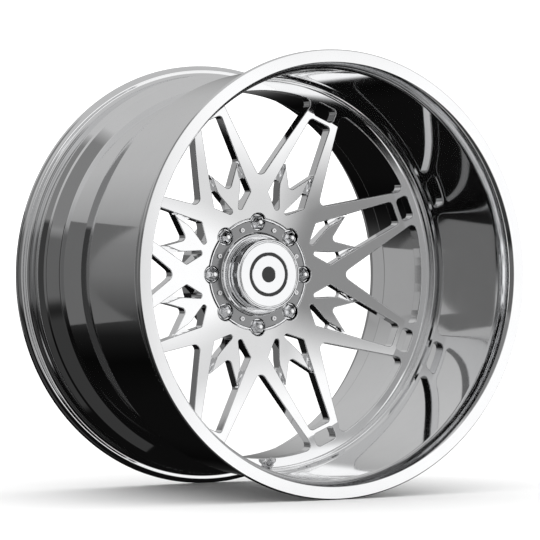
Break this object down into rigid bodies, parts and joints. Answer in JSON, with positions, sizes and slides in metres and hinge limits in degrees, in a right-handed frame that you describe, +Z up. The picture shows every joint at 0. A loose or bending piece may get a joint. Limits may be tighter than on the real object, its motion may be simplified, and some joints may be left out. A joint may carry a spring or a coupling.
{
  "type": "deep-dish truck wheel rim",
  "caption": "Deep-dish forged truck wheel with split-spoke centre, polished lip, drop-well barrel, hub cap, lug nuts and clamp-in valve.",
  "frame": {"origin": "centre of the wheel on its axle line, halfway between the two flanges", "axes": "the wheel turns about Y; -Y points out of the dished outboard side, +Y towards the vehicle; +Z is up, with the valve at the bottom; +X is to the right seen from outboard"},
  "size_m": [0.6999, 0.434, 0.7],
  "materials": {
    "polished_rim": "mirror-polished forged aluminium",
    "polished_centre": "mirror-polished forged aluminium",
    "cap_chrome": "polished and chromed",
    "cap_face_finish": "polished with black enamel in turned rings",
    "nut_chrome": "bright chrome on steel",
    "stainless": "bright stainless",
    "valve_metal": "bright chrome on brass",
    "brass": "plain brass",
    "rubber": "matte black rubber"
  },
  "bodies": {
    "root": {"barrel": "polished_rim", "spoke_center": "polished_centre", "valve_stem": "valve_metal", "valve_grommet": "rubber", "valve_washer": "valve_metal", "valve_hex_nut": "valve_metal", "valve_core": "brass"},
    "hub_cap": {"cap_base": "cap_chrome", "cap_can": "cap_chrome", "cap_face": "cap_face_finish", "cap_oring": "rubber", "cap_gasket": "rubber", "cap_screws": "stainless"},
    "nut_1": {"lug_nut_1": "nut_chrome"},
    "nut_2": {"lug_nut_2": "nut_chrome"},
    "nut_3": {"lug_nut_3": "nut_chrome"},
    "nut_4": {"lug_nut_4": "nut_chrome"},
    "nut_5": {"lug_nut_5": "nut_chrome"},
    "nut_6": {"lug_nut_6": "nut_chrome"},
    "nut_7": {"lug_nut_7": "nut_chrome"},
    "nut_8": {"lug_nut_8": "nut_chrome"},
    "valve_pin": {"valve_core_pin": "brass"},
    "valve_dust_cap": {"valve_cap": "valve_metal", "valve_cap_seal": "rubber"}
  },
  "joints": [
    {"name": "hub_cap_off", "type": "slide", "parent": "root", "child": "hub_cap", "axis": [0, -1, 0], "range_m": [0, 0.28]},
    {"name": "nut_1_off", "type": "slide", "parent": "root", "child": "nut_1", "axis": [0, -1, 0], "range_m": [0, 0.31]},
    {"name": "nut_2_off", "type": "slide", "parent": "root", "child": "nut_2", "axis": [0, -1, 0], "range_m": [0, 0.31]},
    {"name": "nut_3_off", "type": "slide", "parent": "root", "child": "nut_3", "axis": [0, -1, 0], "range_m": [0, 0.31]},
    {"name": "nut_4_off", "type": "slide", "parent": "root", "child": "nut_4", "axis": [0, -1, 0], "range_m": [0, 0.31]},
    {"name": "nut_5_off", "type": "slide", "parent": "root", "child": "nut_5", "axis": [0, -1, 0], "range_m": [0, 0.31]},
    {"name": "nut_6_off", "type": "slide", "parent": "root", "child": "nut_6", "axis": [0, -1, 0], "range_m": [0, 0.31]},
    {"name": "nut_7_off", "type": "slide", "parent": "root", "child": "nut_7", "axis": [0, -1, 0], "range_m": [0, 0.31]},
    {"name": "nut_8_off", "type": "slide", "parent": "root", "child": "nut_8", "axis": [0, -1, 0], "range_m": [0, 0.31]},
    {"name": "valve_pin_press", "type": "slide", "parent": "root", "child": "valve_pin", "axis": [0, 0.866, -0.5], "range_m": [0, 0.0016], "stiffness_N_per_m": 300},
    {"name": "valve_cap_off", "type": "slide", "parent": "root", "child": "valve_dust_cap", "axis": [0, -0.866, 0.5], "range_m": [0, 0.26]}
  ]
}
